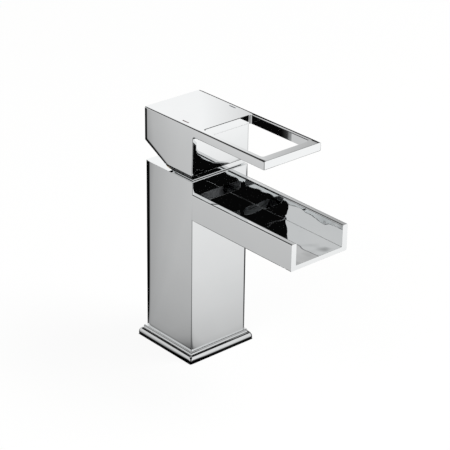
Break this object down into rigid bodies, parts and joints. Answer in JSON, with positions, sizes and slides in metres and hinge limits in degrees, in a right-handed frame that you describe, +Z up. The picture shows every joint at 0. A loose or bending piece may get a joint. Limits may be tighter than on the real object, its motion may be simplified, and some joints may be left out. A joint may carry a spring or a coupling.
{
  "type": "basin mixer",
  "caption": "Single-lever basin mixer with a square column, an open waterfall trough for a spout and a flat loop handle that lifts for flow and swivels for temperature.",
  "frame": {"origin": "centre of the tap hole on the deck, under the middle of the column", "axes": "+Z up along the column, -Y the way the spout points, +X to the right of a person at the basin"},
  "size_m": [0.0518, 0.1338, 0.1556],
  "materials": {
    "chromed_brass": "polished chrome plate on brass",
    "chromed_zinc": "polished chrome plate on die-cast zinc",
    "chromed_plastic": "chromed plastic",
    "black_rubber": "matt",
    "grey_acetal": "moulded",
    "white_acetal": "moulded",
    "alumina": "lapped ceramic",
    "bare_brass": "machined",
    "stainless_steel": "machined",
    "red_enamel": "filled mark",
    "blue_enamel": "filled mark"
  },
  "bodies": {
    "fixed_body": {"mixer_body": "chromed_brass", "spout_trough": "chromed_brass", "base_flange": "chromed_brass", "base_gasket": "black_rubber", "cartridge_base": "grey_acetal", "port_seals": "black_rubber", "disc_seals": "black_rubber", "fixed_disc": "alumina", "cartridge_housing": "grey_acetal", "housing_o_ring": "black_rubber", "retaining_nut": "bare_brass", "cartridge_cover": "chromed_brass"},
    "swivel": {"rotary_guide": "white_acetal", "pivot_pin": "stainless_steel"},
    "lever": {"stem": "stainless_steel", "handle": "chromed_zinc", "grub_screw": "stainless_steel", "screw_plug": "chromed_plastic", "hot_mark": "red_enamel", "cold_mark": "blue_enamel"},
    "upper_disc": {"disc_carrier": "white_acetal", "carrier_seal": "black_rubber", "moving_disc": "alumina"}
  },
  "joints": [
    {"name": "handle_swivel", "type": "hinge", "parent": "fixed_body", "child": "swivel", "pos_m": [0, 0, 0.127], "axis": [0, 0, 1], "range_deg": [-50, 50]},
    {"name": "handle_lift", "type": "hinge", "parent": "swivel", "child": "lever", "pos_m": [0, 0, 0.127], "axis": [-1, 0, 0], "range_deg": [0, 25]},
    {"name": "disc_slide", "type": "slide", "parent": "swivel", "child": "upper_disc", "axis": [0, -1, 0], "range_m": [0, 0.0045]}
  ],
  "couplings": [
    {"joint": "disc_slide", "follows": "handle_lift", "m_per_rad": 0.01017}
  ]
}
